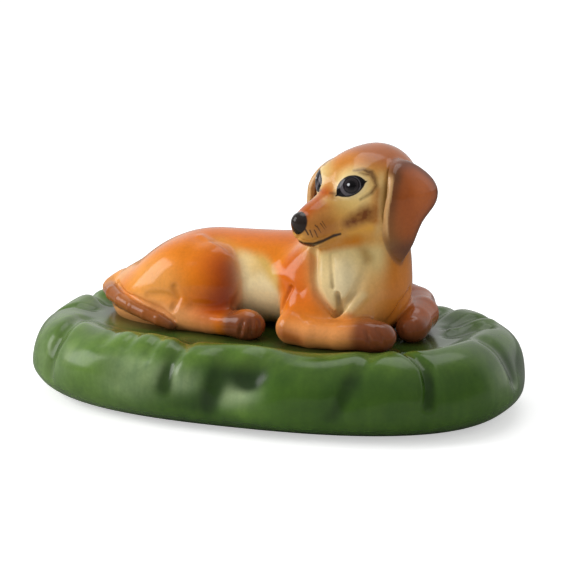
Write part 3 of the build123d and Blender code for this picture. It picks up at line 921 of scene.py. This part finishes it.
def ear_paint(p, side):
    """Red brown, with a dark front band, edge and tip."""
    q = in_head(p) * (1, side, 1)
    f, h = q[:, 0], q[:, 2]
    edge = polygon_distance(f, h, EAR_POLYGON)
    c = plain(EAR_RED, p)
    c = over(c, (0.42, 0.105, 0.022), spot(q, (-2, 13, 0), (4, 4, 6)))
    c = over(c, EAR_DARK, 0.85 * near_line(q, [(4, 11.5, 5), (5.4, 11.5, -4), (4.5, 12, -12)], 1.5))
    c = over(c, EAR_DARK, 0.75 * rise(-2.4, -0.2, edge))
    c = over(c, (0.085, 0.034, 0.024), rise(-8, -13.5, h))
    return over(c, (0.60, 0.36, 0.16), 0.9 * rise(-0.40, -0.12, edge) * rise(4.0, 5.5, f) * rise(-11, -7, h))


def leg_paint(m, p, name):
    """Orange legs with dark paws, and a deep red shade in front of the thigh."""
    x, y, z = m.T
    c = plain(ORANGE, m)
    if name.endswith("hind_leg"):
        # Paler sand on the thigh: its own colour, with a painted highlight in it
        c = over(c, SAND, 0.75 * spot(m, (-27, -9, 28), (9, 8, 6.5), 2))
        c = over(c, (0.76, 0.33, 0.11), rise(26, 22, z) * rise(-8, -12, x))
        c = over(c, DEEP, 0.8 * near_line(m, [(-30, 0, 33), (-20, -2, 37)], 3))
        knee = [(-10.5, -10, 33), (-9.5, -11.5, 28), (-11, -12, 24.5)]
        c = over(c, (0.52, 0.095, 0.003), near_line(m, knee, 6.2))
        front_edge = [(-8, -9.5, 32), (-7.5, -11, 28), (-9.5, -11.5, 24.5)]
        c = over(c, (0.28, 0.034, 0.001), near_line(m, front_edge, 4))
        return over(c, DARK_PAW, rise(-9.5, -6.0, x) * rise(26.5, 23.0, z))
    if name == "right_foreleg":
        c = over(c, DEEP, rise(22, 31, z))
        c = over(c, (0.78, 0.31, 0.09), rise(26, 22, z))
        c = over(c, RUST, 0.8 * near_line(m, [(8, -19, 21), (12, -20.5, 19.5)], 2.2))
        return over(c, DARK_PAW, rise(22.0, 26.5, x) * rise(28, 24, z))
    x, y, z = p.T
    c = over(c, (0.33, 0.072, 0.008), rise(31, 27, z))
    # A dark line in the crease between chest and leg, partly paint and partly painted shade
    c = over(c, (0.13, 0.038, 0.008), 0.8 * near_line(p, [(30.5, -5.5, 22), (32.6, -4, 27)], 2.2))
    return over(c, DARK_PAW, rise(0, -4.5, y) * rise(25.5, 22.0, z))


# How far in mm a casting's colours run on past its seams, where that isn't 0.4
PAINT_SOFTNESS = {"torso": 0.8, "head": 1.2, "left_ear": 0.12, "right_ear": 0.12, "tail": 0.12}


def dog_paint(p, fields):
    """The sprayed colours of the dog's vertices, which run softly from one casting to the next.

    m is p with the far flank folded over on the near one.
    """
    m = p * (1, 0, 1) + (SPINE_Y - np.abs(p - SPINE_Y)) * (0, 1, 0)
    tail_coat = over(plain((0.30, 0.085, 0.016), p), UMBER, 0.8 * rise(-26, -20, p[:, 0]))
    tail_coat = over(tail_coat, (0.66, 0.27, 0.06), rise(-3, 3, p[:, 1]))
    coats = [
        torso_paint(m, p), head_paint(p), *(leg_paint(m, p, name) for name in NAMES if name.endswith("leg")),
        ear_paint(p, 1), ear_paint(p, -1), tail_coat,
    ]
    softness = np.array([PAINT_SOFTNESS.get(name, 0.4) for name in NAMES])
    weights = np.exp(-np.clip((fields - fields.min(0)) / softness[:, None], 0, 40))
    return sum(c * w[:, None] for c, w in zip(coats, weights)) / weights.sum(0)[:, None]


# Painted reflections: pale patches on the green glaze where a window would mirror in it: x, y, z, radius
PAINTED_REFLECTIONS = [
    (-44, -23, 12, 9), (-24, -32, 12, 9), (-12, -35, 13, 6), (2, -36, 11, 6), (55, -8, 11, 7),
    (40, 28, 12, 8), (10, 35, 12, 8), (-20, 34, 12, 9), (-54, 12, 12, 8),
]


def cushion_paint(p):
    """Green glaze, with pale patches painted in as reflections and a painted highlight on its ridges and rim,
    where it also runs thin; painted light to the left, painted shade to the right and bottom; and dark in
    folds and round the dog, where it pools and where shade and shadow are painted too.
    """
    x, y, z = p.T
    c = plain((0.048, 0.112, 0.012), p)
    # Pale patches painted in as reflections
    for *place, size in PAINTED_REFLECTIONS:
        c = over(c, (0.34, 0.44, 0.25), 0.6 * spot(p, place, (size, size, 0.6 * size), 1.5))
    # Darker where the glaze pools in the folds, which also paints their shade
    c = over(c, (0.008, 0.022, 0.003), 0.95 * rise(0.1, 0.95, -cushion(p)) * (z > 3))
    # Lighter on ridges where the glaze runs thin, which also paints their highlight
    c = over(c, (0.090, 0.185, 0.022), 0.75 * rise(0.0, 0.8, cushion(p)))
    # A painted highlight along the top of the rim
    c = over(c, (0.105, 0.200, 0.026), 0.7 * rise(14, 19, z) * rise(17, 11, cushion_inset(x, y)))
    # Painted shade, darker towards the bottom
    c = over(c, (0.030, 0.078, 0.010), 0.6 * rise(6, 1, z))
    # Painted light, lighter towards the left, and painted shade, darker towards the right
    c = over(c, (0.150, 0.260, 0.060), 0.5 * rise(-5, -45, x))
    c = over(c, (0.024, 0.060, 0.007), 0.35 * rise(5, 45, x))
    above = p + (0, 0, 1.0)
    gap = np.maximum(whole_dog(above, casting_fields(above)), 0)
    # The bed round the dog darker where the glaze pools, with painted shade there too
    inner = rise(10, 14, cushion_inset(x, y))
    c = over(c, (0.036, 0.070, 0.014), 0.6 * inner)
    # A dark line round the dog where the glaze pools, which is also its painted contact shadow
    c = over(c, (0.034, 0.030, 0.008), 0.85 * np.exp(-((gap / 1.6) ** 2)) * (z > 12))
    bare = (z < 0.2) | ((z < POUR_HOLE_DEPTH + 0.2) & (cushion_inset(x, y) > RECESS_INSET - 1))
    return over(c, (0.70, 0.68, 0.62), bare * 1.0)


# ---------------- building
DOG_STEP = 0.36  # the meshes' grids
CUSHION_STEP = 0.55


def build_dog(step):
    """The dog's castings, as objects by name. Neighbours share their seam's vertices."""
    low, high = np.array([-47.0, -25.0, 16.0]), np.array([42.5, 23.0, 66.0])

    def labels_at(p):
        d, fields = dog_field(p)
        return np.where(d > 0, 0, 1 + np.argmin(fields, 0)).astype(np.uint8)

    def distance_at(p):
        return dog_field(p)[0]

    labels = label_grid(labels_at, distance_at, low, high, step)
    p, bits, quads, sides = surface_nets(labels, low, step)
    p, normals = fitted(p, bits, quads, sides, distance_at, casting_fields, step)
    colours = dog_paint(p, casting_fields(p))
    pieces = {}
    for label, name in enumerate(NAMES, 1):
        ahead, behind = quads[sides[:, 0] == label], quads[sides[:, 1] == label][:, ::-1]
        pieces[name] = write_mesh(name + "_glazed", p, np.concatenate([ahead, behind]), normals, colours)
    return pieces


def build_cushion(step):
    """The cushion's object."""
    low, high = np.array([-63.0, -39.5, -2.0]), np.array([63.0, 39.5, 24.0])
    labels = label_grid(lambda p: (cushion_field(p) < 0).astype(np.uint8), cushion_field, low, high, step)
    p, bits, quads, sides = surface_nets(labels, low, step)
    p, normals = fitted(p, bits, quads, sides, cushion_field, None, step)
    faces = np.concatenate([quads[sides[:, 0] == 1], quads[sides[:, 1] == 1][:, ::-1]])
    colours = cushion_paint(p)
    return write_mesh("cushion_glazed", p, faces, normals, colours)


dog = build_dog(DOG_STEP)
cushion_piece = build_cushion(CUSHION_STEP)
coat = glaze("coat_glaze", sprayed)
face = glaze("face_glaze", face_painted)
green = glaze("cushion_glaze", mottled, coat_roughness=0.20, wave=0.0003, wave_scale=70)
for name, piece in dog.items():
    piece.data.materials.append(face if name == "head" else coat)
    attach(piece, "root")
    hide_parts(name)
cushion_piece.data.materials.append(green)
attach(cushion_piece, "root")
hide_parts("cushion")

# ---------------- studio
AZIMUTH, ELEVATION, DISTANCE = radians(19.0), radians(13.75), 0.560
TARGET = Vector((0.001371, 0.000472, 0.028))
FOCAL_LENGTH, SENSOR_WIDTH, CLIP_END = 150.0, 36.0, 50.0
back = Vector((sin(AZIMUTH) * cos(ELEVATION), -cos(AZIMUTH) * cos(ELEVATION), sin(ELEVATION)))
lens = bpy.data.cameras.new("camera")
lens.lens, lens.sensor_width, lens.clip_end = FOCAL_LENGTH, SENSOR_WIDTH, CLIP_END
camera = bpy.data.objects.new("camera", lens)
camera.location = TARGET + back * DISTANCE
camera.rotation_euler = back.to_track_quat("Z", "Y").to_euler()
bpy.context.scene.collection.objects.link(camera)
bpy.context.scene.camera = camera


def softbox(name, place, size, power, mirrored=True):
    """A rectangular light that looks at the dog, and is seen in the glaze where mirrored is true."""
    data = bpy.data.lights.new(name, "AREA")
    data.shape, data.size, data.size_y = "RECTANGLE", *size
    data.energy = power
    light = bpy.data.objects.new(name, data)
    light.location = place
    light.visible_glossy = mirrored
    light.rotation_euler = (Vector(place) - TARGET).to_track_quat("Z", "Y").to_euler()
    bpy.context.scene.collection.objects.link(light)


softbox("key", (-0.66, -0.24, 0.34), (0.50, 0.46), 3.2, mirrored=False)
softbox("shine", (-0.66, -0.20, 0.34), (0.42, 0.42), 1.5)
softbox("fill", (0.62, -0.38, 0.42), (0.90, 0.90), 1.1, mirrored=False)
softbox("top", (0.05, 0.25, 0.9), (0.6, 0.6), 1.6)

SKY = 0.50  # the world's level for diffuse light
world = bpy.data.worlds.new("studio")
bpy.context.scene.world = world
world.use_nodes = True
tree = world.node_tree
tree.nodes.clear()
direction = node(tree, "TexCoord").outputs["Generated"]
parts = node(tree, "SeparateXYZ", {0: direction})
# Mirror reflections see a dark room in front, with white only above and behind
behind = node(tree, "MapRange", {0: parts.outputs[1], 1: 0.1, 2: 0.75, 3: 0.05, 4: 0.75}).outputs[0]
mirrored = maths(tree, "MULTIPLY_ADD", maths(tree, "MAXIMUM", parts.outputs[2], 0.0), 0.25, behind)
path = node(tree, "LightPath")
levels = {0: path.outputs["Is Glossy Ray"], 2: SKY, 3: mirrored}
level = node(tree, "Mix", levels, data_type="FLOAT").outputs[0]
level = maths(tree, "MAXIMUM", level, path.outputs["Is Camera Ray"])
background = node(tree, "Background", {"Color": grey(tree, level), "Strength": 1.0})
node(tree, "OutputWorld", {"Surface": background.outputs[0]})

FLOOR_SIZE = 6
bpy.ops.mesh.primitive_plane_add(size=FLOOR_SIZE, location=(0, 0, 0))
floor = bpy.context.object
floor.name = "floor"
paper = bpy.data.materials.new("paper")
paper.use_nodes = True
tree = paper.node_tree
shader = tree.nodes["Principled BSDF"]
path = node(tree, "LightPath")
# Pale paper with a faint grain: darker to mirror rays, and lit up to white for the camera
seen = maths(tree, "MULTIPLY_ADD", path.outputs["Is Glossy Ray"], -0.62, 0.90)
fibres = noise(tree, node(tree, "TexCoord").outputs["Object"], 60)
grain = node(tree, "Mix", {0: 0.01, 2: seen, 3: fibres}, data_type="FLOAT").outputs[0]
glow = times(tree, path.outputs["Is Camera Ray"], 0.48)
tree.links.new(grey(tree, grain), shader.inputs["Base Color"])
tree.links.new(glow, shader.inputs["Emission Strength"])
shader.inputs["Emission Color"].default_value = (1, 1, 1, 1)
shader.inputs["Roughness"].default_value = 0.8
shader.inputs["Specular IOR Level"].default_value = 0.1
floor.data.materials.append(paper)

bpy.context.scene.view_settings.view_transform = "Standard"
